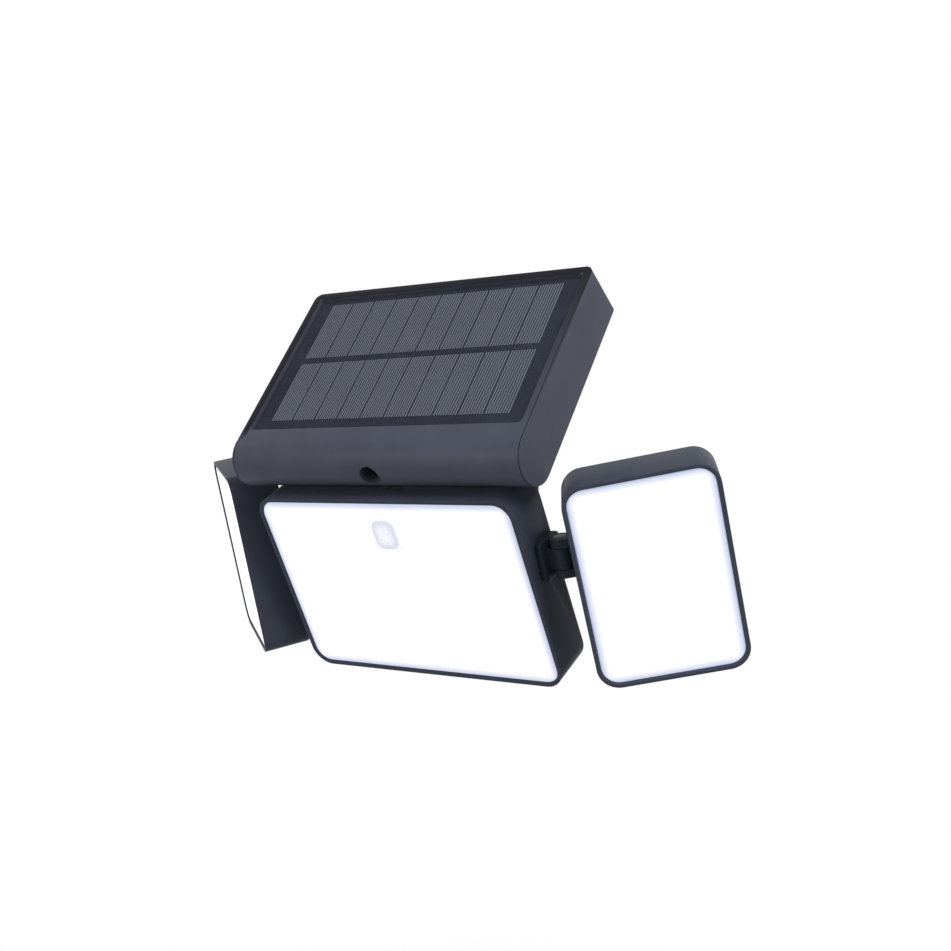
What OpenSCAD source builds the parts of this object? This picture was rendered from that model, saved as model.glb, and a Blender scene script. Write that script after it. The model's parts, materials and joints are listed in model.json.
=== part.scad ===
// Three-headed solar flood light on a tilting wall bracket.
// Millimetres. Origin: centre of the wall plate's back face. +Y into the wall, -Y to the front, +Z up.

/* [Solar panel] */
// Width of the panel housing
panel_w = 200; // [160:1:240]
// Length from the hinge axis to the rear edge
panel_l = 119; // [90:1:150]
// Thickness of the panel housing, also the diameter of its round front edge
panel_t = 31.4; // [26:0.2:40]
// Slope of the panel from level
panel_slope = 53; // [35:1:80]
// Solar cells in one row
cell_columns = 10; // [4:1:12]
// Spacing of the solar cells along the row
cell_pitch = 16.8; // [10:0.1:20]
// Length of one solar cell up the slope
cell_l = 44; // [30:0.5:50]

/* [Main head] */
// Width of the main head
main_w = 178; // [140:1:200]
// Height of the main head
main_h = 117; // [100:1:140]
// Depth of the main head
main_d = 29; // [26:0.5:40]
// Forward lean of the main head
main_lean = 29; // [0:1:45]
// Radius of the heads' corners
corner_r = 12; // [8:0.5:20]

/* [Side heads] */
// Width of a side head
side_w = 80.5; // [70:1:110]
// Height of a side head
side_h = 115; // [100:1:140]
// Depth of a side head
side_d = 29; // [26:0.5:40]
// Outward swing of the right head
right_swing = 29; // [0:1:60]
// Outward swing of the left head
left_swing = 38; // [0:1:60]
// Turn of the right arm against the main head
right_turn = -6; // [-20:1:20]
// Turn of the left arm against the main head
left_turn = -12; // [-20:1:20]

/* [Moulding] */
// Wall thickness of the head shells
wall = 2.3; // [1.8:0.1:3.5]
// Width of the ledge that carries a gasket
ledge = 2; // [1.5:0.1:3]
// Thickness of a head's rear wall
back = 2.4; // [2:0.1:4]
// Gap around a diffuser
rim_gap = 0.5; // [0.3:0.1:1]
// Depth of the pocket that takes a diffuser
pocket_d = 9; // [7:0.5:12]
// Running clearance on the radius of a pin or sleeve
fit = 0.05; // [0.02:0.01:0.1]

/* [Hinges] */
// Radius of the neck that carries the panel
neck_r = 6.3; // [5:0.1:8]
// Radius of the panel hinge bolt
bolt_r = 2.5; // [2:0.1:4]
// Radius of the bracket bolt
tilt_r = 3; // [2:0.1:5]
// Half the height of a side arm
arm_r = 11; // [9.5:0.5:12]
// Radius of a swivel knuckle
knuckle_r = 5.5; // [5:0.5:7]
// Radius of a swivel pin
pin_r = 2.5; // [2:0.1:4]

/* [Wall bracket] */
// Width of the wall plate
plate_w = 56; // [52:1:100]
// Height of the wall plate
plate_h = 104; // [80:1:140]
// Thickness of the wall plate and its ears
plate_t = 4; // [3:0.5:6]
// Spacing of the two wall holes
hole_spacing = 80; // [60:1:100]
// Radius of a wall hole
hole_r = 2.7; // [2:0.1:4]
// Distance of the tilt axis from the wall
wall_gap = 66; // [60:1:90]

/* [Hidden] */
$fn = 64;
panel_r = panel_t / 2;
inset = wall + rim_gap;
seat_in = wall + ledge;
gasket_t = 1;
lens_t = 2;
lens_back = 0.3;
skirt = 1.8;
board_t = 1.6;
screw_r = 1.5;
head_r = 2.9;
head_t = 1.7;
bore_depth = 2;
main_board_y = main_d - back - 5 - board_t;
side_board_y = side_d - back - 5 - board_t;
led_pitch = 33;
main_led_pitch = (main_w - 46) / 4;
main_led_rows = [-main_h / 2 + 16.5, -main_h / 2 + 44.5, 14];
led = [5, 1.2, 5];

// Places in the main head: x across, y back from the front rim, z up from the centre.
tilt_y = main_d + 14;
tilt_z = 10;
hinge_y = 19.3;
hinge_gap = 0.5;
hinge_z = main_h / 2 + panel_r + hinge_gap;
arm_y = main_d - arm_r;
arm_z = 15.5;
main_posts = [[-1, 34], [1, 34], [-1, -39], [1, -39]];
main_post_x = main_w / 2 - 14;
main_board_z = [-main_h / 2 + 11, 40];
pir_z = 36;
pir_size = [15, 18];
button_x = main_w / 2 - 39;
button_y = 14.5;
button_r = 4.5;
button_travel = 1.5;

// Places on a side head.
side_post_x = side_w / 2 - 12;
side_post_z = side_h / 2 - 14.5;
swivel_x = max(main_w / 2 + 9.9, panel_w / 2 - 1.1);
swivel_back = 0.5;
swivel_u = side_w / 2 + knuckle_r + 0.5;
swivel_dep = side_d - 4.5;
swivel_drop = 12.1;
knuckle_h = 12;
ear_gap = 0.3;
ear_t = arm_r - knuckle_h / 2 - ear_gap;
spigot_r = 6.5;
collar_r = 8.3;
collar_t = 3;
tail_r = 5;
wire_r = 3;
seal_r = 8.6;
seal_t = 1.2;
arm_gap = 0.4;
arm_deep = 20;
arm_corner = 3;
pin_head_r = pin_r + 1.7;
pin_sink = 1.3;

// Neck flange and its screws.
top_in = main_h / 2 - seat_in;
flange = [56, 14, 3];
flange_z = top_in - 8;
flange_screw_x = 21;

// Panel layers from the top face down.
frame_side = 5;
frame_rear = 4.7;
cell_shift = 2.2;
frame_front = 9.3;
recess = 0.25;
cover_t = 2;
cell_t = 0.4;
floor_t = 1.5;
skin = 2.6;
cover_z = panel_r - recess;
cell_z = cover_z - cover_t;
sheet_z = cell_z - cell_t;
pocket_z = sheet_z - board_t;
floor_z = pocket_z - floor_t;
lid_t = 3;
lid_z = -panel_r + lid_t;
lid_front = 16;
lid_gap = 0.25;
rib_z = lid_z + gasket_t;
slot_w = 2 * neck_r + 0.8;
slot_end = 98;
cheek_x = 22;
washer_t = 1;
lid_screw_x = panel_w / 2 - 12;
lid_screw_y = [lid_front + 7, panel_l - 12];
battery_r = 9.1;
battery_l = 65;
battery_x = -46;
battery_y = [44, 64];
holder_floor = 1.5;
battery_z = lid_z + holder_floor + battery_r + 2 * fit;
board_x = 50;
board_y = 54;
charge_size = [64, 40];
standoff = 4;
charge_z = lid_z + standoff;

// Bracket.
lug_x = 19.5;
ear_x = lug_x + washer_t;
lug_r = 10;

// Colours.
anthracite = [0.20, 0.21, 0.24];
graphite = [0.14, 0.15, 0.17];
milky = [0.95, 0.95, 0.98];
rubber = [0.06, 0.06, 0.07];
steel = [0.66, 0.67, 0.69];
board_white = [0.90, 0.91, 0.90];
board_green = [0.07, 0.30, 0.16];
led_yellow = [0.96, 0.88, 0.45];
cell_blue = [0.20, 0.22, 0.27];
sheet_navy = [0.13, 0.15, 0.20];
clear = [0.80, 0.86, 0.92, 0.5];
wrap_blue = [0.15, 0.35, 0.60];

// Frames of the moving groups

module in_main() {
    translate([0, -wall_gap, 0]) rotate([main_lean, 0, 0]) translate([0, -tilt_y, -tilt_z]) children();
}

module in_panel() {
    in_main() translate([0, hinge_y, hinge_z]) rotate([panel_slope - main_lean, 0, 0]) children();
}

module in_arm(side, turn) {
    in_main() mirror([side < 0 ? 1 : 0, 0, 0]) translate([0, arm_y, arm_z]) rotate([turn, 0, 0]) children();
}

module in_side(side, turn, swing) {
    in_arm(side, turn) translate([swivel_x, swivel_back, 0]) rotate([0, 0, swing])
        translate([swivel_u, -swivel_dep, -swivel_drop]) children();
}

// Shared shapes

module rounded_outline(w, h, r) {
    square([w - 2 * r, h], center = true);
    square([w, h - 2 * r], center = true);
    for (sx = [-1, 1], sy = [-1, 1]) translate([sx * (w / 2 - r), sy * (h / 2 - r)]) circle(r);
}

module rounded_slab(w, h, r, y0, y1) {
    translate([0, y1, 0]) rotate([90, 0, 0]) linear_extrude(y1 - y0) rounded_outline(w, h, r);
}

module rod_x(r, x0, x1) {
    translate([x0, 0, 0]) rotate([0, 90, 0]) cylinder(r = r, h = x1 - x0);
}

module rod_y(r, y0, y1) {
    translate([0, y1, 0]) rotate([90, 0, 0]) cylinder(r = r, h = y1 - y0);
}

module hex_x(r, x0, x1) {
    translate([x0, 0, 0]) rotate([0, 90, 0]) cylinder(r = r, h = x1 - x0, $fn = 6);
}

module washer_x(r, bore, x0, x1) {
    difference() {
        rod_x(r, x0, x1);
        rod_x(bore, x0 - 1, x1 + 1);
    }
}

function main_post(p) = [p[0] * main_post_x, 0, p[1]];
function side_posts() = [for (sx = [-1, 1], sz = [-1, 1]) [sx * side_post_x, 0, sz * side_post_z]];
function main_post_list() = [for (p = main_posts) main_post(p)];

// A head shell: open tray with a stepped pocket, screw pillars and countersunk screw holes.
module shell_body(w, h, d, board_y, posts) {
    difference() {
        union() {
            difference() {
                rounded_slab(w, h, corner_r, 0, d);
                rounded_slab(w - 2 * wall, h - 2 * wall, corner_r - wall, -1, pocket_d);
                rounded_slab(w - 2 * seat_in, h - 2 * seat_in, corner_r - seat_in, pocket_d - 1, d - back);
            }
            for (p = posts) translate(p) rod_y(4.5, board_y + board_t, d - back / 2);
        }
        for (p = posts) translate(p) {
            rod_y(screw_r + 2 * fit, board_y, d + 1);
            rod_y(head_r + 0.3, d - bore_depth, d + 1);
        }
    }
}

// A diffuser: shallow cup whose posts press the lamp board on to the pillars.
module diffuser_body(w, h, board_y, posts) {
    difference() {
        union() {
            difference() {
                rounded_slab(w - 2 * inset, h - 2 * inset, corner_r - inset, lens_back, pocket_d - gasket_t);
                rounded_slab(w - 2 * inset - 2 * skirt, h - 2 * inset - 2 * skirt, corner_r - inset - skirt,
                    lens_back + lens_t, pocket_d);
            }
            for (p = posts) translate(p) rod_y(3.5, lens_back + lens_t / 2, board_y);
        }
        for (p = posts) translate(p) rod_y(screw_r + fit, board_y - 9, board_y + 1);
    }
}

module gasket_ring(w, h) {
    difference() {
        rounded_slab(w - 2 * wall - 0.6, h - 2 * wall - 0.6, corner_r - wall - 0.3, pocket_d - gasket_t, pocket_d);
        rounded_slab(w - 2 * seat_in, h - 2 * seat_in, corner_r - seat_in, pocket_d - 2, pocket_d + 1);
    }
}

module lamp_board(w, z, board_y, posts) {
    difference() {
        translate([-w / 2, board_y, z[0]]) cube([w, board_t, z[1] - z[0]]);
        for (p = posts) translate(p) rod_y(screw_r + 0.3, board_y - 1, board_y + board_t + 1);
    }
}

module lamp(x, z, board_y) {
    translate([x - led[0] / 2, board_y - led[1], z - led[2] / 2]) cube(led);
}

module head_screws(d, board_y, posts) {
    for (p = posts) translate(p) {
        rod_y(screw_r, board_y - 8, d - bore_depth + 0.5);
        rod_y(head_r, d - bore_depth, d - bore_depth + head_t);
    }
}

// Wall bracket

module ear_outline() {
    difference() {
        union() {
            circle(12);
            polygon([[0, -12], [wall_gap - plate_t, -34], [wall_gap - plate_t, 34], [0, 12]]);
        }
        circle(tilt_r + fit);
    }
}

module wall_bracket() {
    color(graphite) {
        difference() {
            rounded_slab(plate_w, plate_h, 8, -plate_t, 0);
            for (sz = [-1, 1]) translate([0, 0, sz * hole_spacing / 2]) rod_y(hole_r, -plate_t - 1, 1);
        }
        for (x = [-ear_x - plate_t, ear_x]) translate([x, -wall_gap, 0])
            rotate([90, 0, 90]) linear_extrude(plate_t) ear_outline();
    }
}

module tilt_bolt() {
    color(steel) translate([0, -wall_gap, 0]) {
        hex_x(5.6, ear_x + plate_t, ear_x + plate_t + 4);
        rod_x(tilt_r, -ear_x - plate_t - 7, ear_x + plate_t + 1);
    }
}

module tilt_nut() {
    color(steel) translate([0, -wall_gap, 0]) difference() {
        hex_x(5.6, -ear_x - plate_t - 5, -ear_x - plate_t);
        rod_x(tilt_r + fit, -ear_x - plate_t - 6, 0);
    }
}

module tilt_washers() {
    color(steel) translate([0, -wall_gap, 0])
        for (x = [-ear_x, lug_x]) washer_x(8, tilt_r + fit, x, x + washer_t);
}

// Main head

// Two cheeks moulded on to the rear wall, bored for the tilt bolt.
module tilt_lugs() {
    color(anthracite) in_main() for (x = [-lug_x, 8]) difference() {
        union() {
            translate([x, main_d, tilt_z - lug_r]) cube([lug_x - 8, tilt_y - main_d, 2 * lug_r]);
            translate([0, tilt_y, tilt_z]) rod_x(lug_r, x, x + lug_x - 8);
        }
        translate([0, tilt_y, tilt_z]) rod_x(tilt_r + fit, -lug_x - 1, lug_x + 1);
    }
}

module main_shell() {
    switch_z = -main_h / 2 + 15.5;
    color(anthracite) in_main() difference() {
        union() {
            shell_body(main_w, main_h, main_d, main_board_y, main_post_list());
            for (sx = [-1, 1]) translate([sx * flange_screw_x, hinge_y, flange_z])
                cylinder(r = 4.5, h = top_in - flange_z + 1);
            for (sx = [-1, 1]) translate([button_x + sx * 10 - 2, button_y - 3, -main_h / 2 + 1])
                cube([4, 6, switch_z + main_h / 2 - 1]);
        }
        translate([0, hinge_y, top_in - 1]) cylinder(r = neck_r + fit, h = seat_in + 2);
        for (sx = [-1, 1]) translate([sx * flange_screw_x, hinge_y, flange_z - 1])
            cylinder(r = screw_r + fit, h = 9);
        translate([button_x, button_y, -main_h / 2 - 1]) cylinder(r = button_r + fit, h = seat_in + 2);
        translate([0, arm_y, arm_z]) rod_x(spigot_r + fit, -main_w, main_w);
    }
}

module main_diffuser() {
    color(milky) in_main() difference() {
        diffuser_body(main_w, main_h, main_board_y, main_post_list());
        translate([0, 0, pir_z]) rounded_slab(pir_size[0] + 0.6, pir_size[1] + 0.6, 5.3, -1, 5);
    }
}

module main_gasket() {
    color(rubber) in_main() gasket_ring(main_w, main_h);
}

module main_led_board() {
    color(board_white) in_main() lamp_board(main_w - 18, main_board_z, main_board_y, main_post_list());
}

module main_leds() {
    color(led_yellow) in_main() {
        for (i = [-2:2], z = main_led_rows) lamp(i * main_led_pitch, z, main_board_y);
        for (i = [-1, 1], j = [1, 1.8]) lamp(i * j * main_led_pitch, 34, main_board_y);
    }
}

module main_screws() {
    color(steel) in_main() head_screws(main_d, main_board_y, main_post_list());
}

module pir_lens() {
    flange_y = lens_back + lens_t;
    color(milky) in_main() translate([0, 0, pir_z]) difference() {
        union() {
            rounded_slab(pir_size[0], pir_size[1], 5, lens_back - 0.3, flange_y + 0.5);
            rounded_slab(pir_size[0] + 5, pir_size[1] + 3, 5, flange_y, flange_y + 1.2);
        }
        rounded_slab(pir_size[0] - 3, pir_size[1] - 3, 3.5, lens_back + 1, flange_y + 3);
    }
}

module pir_sensor() {
    color(steel) in_main() translate([0, 0, pir_z - 2]) {
        rod_y(4.6, main_board_y - 5, main_board_y);
        rod_y(5.2, main_board_y - 0.8, main_board_y);
    }
}

module hinge_neck() {
    color(graphite) in_main() difference() {
        union() {
            translate([0, hinge_y, hinge_z]) rod_x(8, -neck_r, neck_r);
            translate([0, hinge_y, flange_z - 1]) cylinder(r = neck_r, h = hinge_z - flange_z + 1);
            translate([-flange[0] / 2, hinge_y - flange[1] / 2, flange_z - flange[2]]) cube(flange);
        }
        translate([0, hinge_y, hinge_z]) rod_x(bolt_r + fit, -neck_r - 9, neck_r + 9);
        for (sx = [-1, 1]) translate([sx * flange_screw_x, hinge_y, flange_z - flange[2] - 1])
            cylinder(r = screw_r + 2 * fit, h = flange[2] + 2);
    }
}

module neck_screws() {
    color(steel) in_main() for (sx = [-1, 1]) translate([sx * flange_screw_x, hinge_y, flange_z - flange[2]]) {
        translate([0, 0, -head_t]) cylinder(r = head_r, h = head_t);
        translate([0, 0, -0.5]) cylinder(r = screw_r, h = flange[2] + 7);
    }
}

module mode_button() {
    inner = -main_h / 2 + seat_in;
    color(rubber) in_main() translate([button_x, button_y, 0]) {
        translate([0, 0, -main_h / 2 - 1]) cylinder(r = button_r, h = seat_in + 1.5);
        translate([0, 0, inner]) cylinder(r = button_r + 0.8, h = 1.2);
        translate([0, 0, inner]) cylinder(r = 2, h = 4);
    }
}

module switch_board() {
    board_z = -main_h / 2 + 15.5;
    color(board_green) in_main() translate([button_x, button_y, board_z]) {
        translate([-12, -4, 0]) cube([24, 8, board_t]);
        translate([-3, -3, -3.5]) cube([6, 6, 4]);
        translate([0, 0, -5.5]) cylinder(r = 1.7, h = 3);
    }
}

// Solar panel

module panel_outer() {
    rod_x(panel_r, -panel_w / 2, panel_w / 2);
    translate([0, 0, -panel_r]) linear_extrude(panel_t) {
        translate([-panel_w / 2, 0]) square([panel_w, panel_l - 5]);
        translate([-panel_w / 2 + 5, 0]) square([panel_w - 10, panel_l]);
        for (sx = [-1, 1]) translate([sx * (panel_w / 2 - 5), panel_l - 5]) circle(5);
    }
}

module panel_window(clear_gap, z0, z1) {
    w = panel_w - 2 * frame_side - 2 * clear_gap;
    l = panel_l - frame_rear - frame_front - 2 * clear_gap;
    translate([0, frame_front + clear_gap + l / 2, z0]) linear_extrude(z1 - z0) rounded_outline(w, l, 3);
}

module panel_block(edge, y0, z0, z1) {
    translate([-panel_w / 2 + edge, y0, z0]) cube([panel_w - 2 * edge, panel_l - edge - y0, z1 - z0]);
}

module hinge_slot() {
    reach = panel_r + 3;
    rotate([0, 90, 0]) rotate([0, 0, -slot_end]) rotate_extrude(angle = slot_end)
        translate([0, -slot_w / 2]) square([reach, slot_w]);
    rotate([-slot_end, 0, 0]) mirror([0, 0, 1]) cylinder(r = slot_w / 2, h = reach);
    translate([-slot_w / 2, -1, -reach]) cube([slot_w, 1 + slot_w / 2, reach]);
    rod_x(8.5, -slot_w / 2, slot_w / 2);
}

module panel_housing() {
    color(anthracite) in_panel() difference() {
        union() {
            difference() {
                panel_outer();
                panel_window(0, pocket_z, panel_r + 1);
                intersection() {
                    rod_x(panel_r - skin, -panel_w / 2 + skin, panel_w / 2 - skin);
                    translate([-panel_w, -panel_w, -panel_r]) cube([2 * panel_w, panel_w + 1, panel_r + floor_z]);
                }
                panel_block(skin, 0, rib_z + 2, floor_z);
                panel_block(skin + 3, lid_front + 2, lid_z, floor_z);
                panel_block(skin, lid_front, -panel_r - 1, rib_z);
                translate([-panel_w / 2 + skin, 0, lid_z]) cube([panel_w - 2 * skin, lid_front - 3, 6]);
            }
            intersection() {
                panel_outer();
                translate([-cheek_x, -panel_r, -panel_r])
                    cube([2 * cheek_x, panel_r + lid_front - 3, panel_r + floor_z + 0.5]);
            }
            for (sx = [-1, 1], y = lid_screw_y) translate([sx * lid_screw_x, y, lid_z])
                cylinder(r = 4, h = floor_z - lid_z + 1);
        }
        hinge_slot();
        rod_x(bolt_r + fit, -cheek_x - 1, cheek_x + 1);
        for (sx = [-1, 1], y = lid_screw_y) translate([sx * lid_screw_x, y, lid_z - 1])
            cylinder(r = screw_r + fit, h = 11);
        translate([0, panel_l - 30, floor_z - 1]) cylinder(r = 3, h = floor_t + 2);
    }
}

module panel_base() {
    color(anthracite) in_panel() difference() {
        union() {
            panel_block(skin + lid_gap, lid_front + lid_gap, -panel_r, lid_z);
            for (sx = [-1, 1], sy = [-1, 1]) translate([board_x + sx * 28, board_y + sy * 16, lid_z - 1])
                cylinder(r = 3, h = standoff + 1);
        }
        for (sx = [-1, 1], sy = [-1, 1]) translate([board_x + sx * 28, board_y + sy * 16, lid_z - 1])
            cylinder(r = 1 + fit, h = standoff + 2);
        for (sx = [-1, 1], y = lid_screw_y) translate([sx * lid_screw_x, y, -panel_r - 1]) {
            cylinder(r = screw_r + 2 * fit, h = lid_t + 2);
            cylinder(r = head_r + 0.3, h = bore_depth + 1);
        }
    }
}

module base_gasket() {
    color(rubber) in_panel() difference() {
        panel_block(skin + 0.5, lid_front + 0.5, lid_z, rib_z);
        panel_block(skin + 3, lid_front + 3, lid_z - 1, rib_z + 1);
    }
}

module base_screws() {
    color(steel) in_panel() for (sx = [-1, 1], y = lid_screw_y)
        translate([sx * lid_screw_x, y, -panel_r + bore_depth]) {
            translate([0, 0, -head_t]) cylinder(r = head_r, h = head_t);
            translate([0, 0, -0.5]) cylinder(r = screw_r, h = 10);
        }
}

module solar_sheet() {
    color(sheet_navy) in_panel() panel_window(0.4, pocket_z, sheet_z);
}

module solar_cells() {
    mid = (frame_front + panel_l - frame_rear) / 2 + cell_shift;
    gap = 4.5;
    color(cell_blue) in_panel()
        for (i = [0:cell_columns - 1], s = [-1, 1])
            translate([(i - (cell_columns - 1) / 2) * cell_pitch, mid + s * (cell_l + gap) / 2, sheet_z + cell_t / 2])
                cube([cell_pitch - 0.6, cell_l, cell_t], center = true);
}

module solar_cover() {
    color(clear) in_panel() panel_window(0.4, cell_z, cover_z);
}

module battery_cells() {
    color(wrap_blue) in_panel() for (y = battery_y)
        translate([battery_x, y, battery_z]) rod_x(battery_r, -battery_l / 2, battery_l / 2);
}

module battery_holder() {
    l = battery_l + 7;
    y0 = battery_y[0] - battery_r - 2;
    w = battery_y[1] - battery_y[0] + 2 * battery_r + 4;
    color(graphite) in_panel() difference() {
        translate([battery_x - l / 2, y0, lid_z]) cube([l, w, 9]);
        for (y = battery_y) translate([battery_x, y, battery_z])
            rod_x(battery_r + 2 * fit, -battery_l / 2 - 0.2, battery_l / 2 + 0.2);
    }
}

module charge_board() {
    color(board_green) in_panel() difference() {
        translate([board_x - charge_size[0] / 2, board_y - charge_size[1] / 2, charge_z])
            cube([charge_size[0], charge_size[1], board_t]);
        for (sx = [-1, 1], sy = [-1, 1]) translate([board_x + sx * 28, board_y + sy * 16, charge_z - 1])
            cylinder(r = 1.2, h = board_t + 2);
    }
}

module charge_parts() {
    top = charge_z + board_t;
    color(graphite) in_panel() translate([board_x, board_y, top]) {
        translate([-20, -6, 0]) cube([10, 12, 5]);
        translate([-2, -10, 0]) cube([8, 8, 2]);
        translate([14, 4, 0]) cylinder(r = 4, h = 9);
        translate([14, -8, 0]) cylinder(r = 4, h = 9);
        translate([-4, 6, 0]) cube([12, 8, 1.6]);
    }
}

module charge_screws() {
    color(steel) in_panel() for (sx = [-1, 1], sy = [-1, 1])
        translate([board_x + sx * 28, board_y + sy * 16, charge_z + board_t]) {
            cylinder(r = 2, h = 1.4);
            translate([0, 0, -5]) cylinder(r = 1, h = 5.5);
        }
}

module hinge_bolt() {
    color(steel) in_panel() {
        hex_x(4.6, cheek_x + washer_t, cheek_x + washer_t + 3.5);
        rod_x(bolt_r, -cheek_x - washer_t - 5.5, cheek_x + washer_t + 1);
    }
}

module hinge_nut() {
    color(steel) in_panel() difference() {
        hex_x(4.6, -cheek_x - washer_t - 4, -cheek_x - washer_t);
        rod_x(bolt_r + fit, -cheek_x - washer_t - 5, 0);
    }
}

module hinge_washers() {
    color(steel) in_panel() for (x = [-cheek_x - washer_t, cheek_x])
        washer_x(5.5, bolt_r + fit, x, x + washer_t);
}

// Side arms: a block that turns in the main head's wall and a knuckle for the swivel pin.

module arm_body() {
    wall_x = main_w / 2;
    collar_x = wall_x - seat_in - 2 * fit;
    difference() {
        union() {
            translate([wall_x + arm_gap, 0, 0]) rotate([90, 0, 90])
                linear_extrude(swivel_x - knuckle_r - ear_gap - wall_x - arm_gap)
                    rounded_outline(arm_deep, 2 * arm_r, arm_corner);
            translate([swivel_x - knuckle_r - 2, swivel_back - knuckle_r + 1, -knuckle_h / 2])
                cube([knuckle_r + 2, 2 * knuckle_r - 2, knuckle_h]);
            rod_x(spigot_r, collar_x, wall_x + 2);
            rod_x(tail_r, collar_x - collar_t - 1, wall_x);
            translate([swivel_x, swivel_back, -knuckle_h / 2]) cylinder(r = knuckle_r, h = knuckle_h);
        }
        translate([swivel_x, swivel_back, -knuckle_h]) cylinder(r = pin_r + fit, h = 2 * knuckle_h);
        rod_x(wire_r, collar_x - collar_t - 2, swivel_x - knuckle_r + 1);
        washer_x(seal_r + fit, spigot_r, wall_x - 1, wall_x + seal_t + 0.1);
    }
}

module arm_seal_body() {
    washer_x(seal_r, spigot_r + fit, main_w / 2, main_w / 2 + seal_t);
}

module arm_collar_body() {
    x1 = main_w / 2 - seat_in - 2 * fit;
    washer_x(collar_r, tail_r + fit, x1 - collar_t, x1);
}

module side_shell_body() {
    shell_body(side_w, side_h, side_d, side_board_y, side_posts());
}

// Two ears moulded on to a side head's wall, which hold the swivel pin.
module side_ears_body() {
    ear_z = knuckle_h / 2 + ear_gap;
    for (z = [-ear_z - ear_t, ear_z]) translate([-swivel_u, swivel_dep, swivel_drop + z]) difference() {
        union() {
            cylinder(r = knuckle_r, h = ear_t);
            translate([0, -knuckle_r, 0]) cube([swivel_u - side_w / 2, knuckle_r + side_d - swivel_dep, ear_t]);
        }
        translate([0, 0, -1]) cylinder(r = pin_r + fit, h = ear_t + 2);
        translate([0, 0, z > 0 ? ear_t - pin_sink : -1]) cylinder(r = pin_head_r + 2 * fit, h = pin_sink + 1);
    }
}

module side_diffuser_body() {
    diffuser_body(side_w, side_h, side_board_y, side_posts());
}

module side_board_body() {
    lamp_board(side_w - 12, [-side_h / 2 + 7, side_h / 2 - 7], side_board_y, side_posts());
}

module side_leds_body() {
    for (x = [-0.5, 0.5], z = [-1, 0, 1]) lamp(x * led_pitch, z * 30, side_board_y);
}

module side_screws_body() {
    head_screws(side_d, side_board_y, side_posts());
}

module pin_body() {
    reach = knuckle_h / 2 + ear_gap + ear_t;
    translate([-swivel_u, swivel_dep, swivel_drop]) {
        translate([0, 0, -reach]) cylinder(r = pin_r, h = 2 * reach);
        for (z = [-reach, reach - pin_sink]) translate([0, 0, z]) cylinder(r = pin_head_r, h = pin_sink);
    }
}

module right_arm() { color(graphite) in_arm(1, right_turn) arm_body(); }
module right_arm_seal() { color(rubber) in_arm(1, right_turn) arm_seal_body(); }
module right_arm_collar() { color(graphite) in_arm(1, right_turn) arm_collar_body(); }
module right_shell() { color(anthracite) in_side(1, right_turn, right_swing) side_shell_body(); }
module right_ears() { color(anthracite) in_side(1, right_turn, right_swing) side_ears_body(); }
module right_diffuser() { color(milky) in_side(1, right_turn, right_swing) side_diffuser_body(); }
module right_gasket() { color(rubber) in_side(1, right_turn, right_swing) gasket_ring(side_w, side_h); }
module right_led_board() { color(board_white) in_side(1, right_turn, right_swing) side_board_body(); }
module right_leds() { color(led_yellow) in_side(1, right_turn, right_swing) side_leds_body(); }
module right_screws() { color(steel) in_side(1, right_turn, right_swing) side_screws_body(); }
module right_pin() { color(steel) in_side(1, right_turn, right_swing) pin_body(); }

module left_arm() { color(graphite) in_arm(-1, left_turn) arm_body(); }
module left_arm_seal() { color(rubber) in_arm(-1, left_turn) arm_seal_body(); }
module left_arm_collar() { color(graphite) in_arm(-1, left_turn) arm_collar_body(); }
module left_shell() { color(anthracite) in_side(-1, left_turn, left_swing) side_shell_body(); }
module left_ears() { color(anthracite) in_side(-1, left_turn, left_swing) side_ears_body(); }
module left_diffuser() { color(milky) in_side(-1, left_turn, left_swing) side_diffuser_body(); }
module left_gasket() { color(rubber) in_side(-1, left_turn, left_swing) gasket_ring(side_w, side_h); }
module left_led_board() { color(board_white) in_side(-1, left_turn, left_swing) side_board_body(); }
module left_leds() { color(led_yellow) in_side(-1, left_turn, left_swing) side_leds_body(); }
module left_screws() { color(steel) in_side(-1, left_turn, left_swing) side_screws_body(); }
module left_pin() { color(steel) in_side(-1, left_turn, left_swing) pin_body(); }

wall_bracket();
tilt_bolt();
tilt_nut();
tilt_washers();
main_shell();
tilt_lugs();
main_diffuser();
main_gasket();
main_led_board();
main_leds();
main_screws();
pir_lens();
pir_sensor();
hinge_neck();
neck_screws();
mode_button();
switch_board();
panel_housing();
panel_base();
base_gasket();
base_screws();
solar_sheet();
solar_cells();
solar_cover();
battery_cells();
battery_holder();
charge_board();
charge_parts();
charge_screws();
hinge_bolt();
hinge_nut();
hinge_washers();
right_arm();
right_arm_seal();
right_arm_collar();
right_shell();
right_ears();
right_diffuser();
right_gasket();
right_led_board();
right_leds();
right_screws();
right_pin();
left_arm();
left_arm_seal();
left_arm_collar();
left_shell();
left_ears();
left_diffuser();
left_gasket();
left_led_board();
left_leds();
left_screws();
left_pin();
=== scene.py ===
"""Solar flood light: softened housings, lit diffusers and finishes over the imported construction."""

import json
import math

import bmesh
import bpy
from bpy.props import FloatProperty, FloatVectorProperty, IntProperty, PointerProperty
from mathutils import Matrix, Vector


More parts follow.
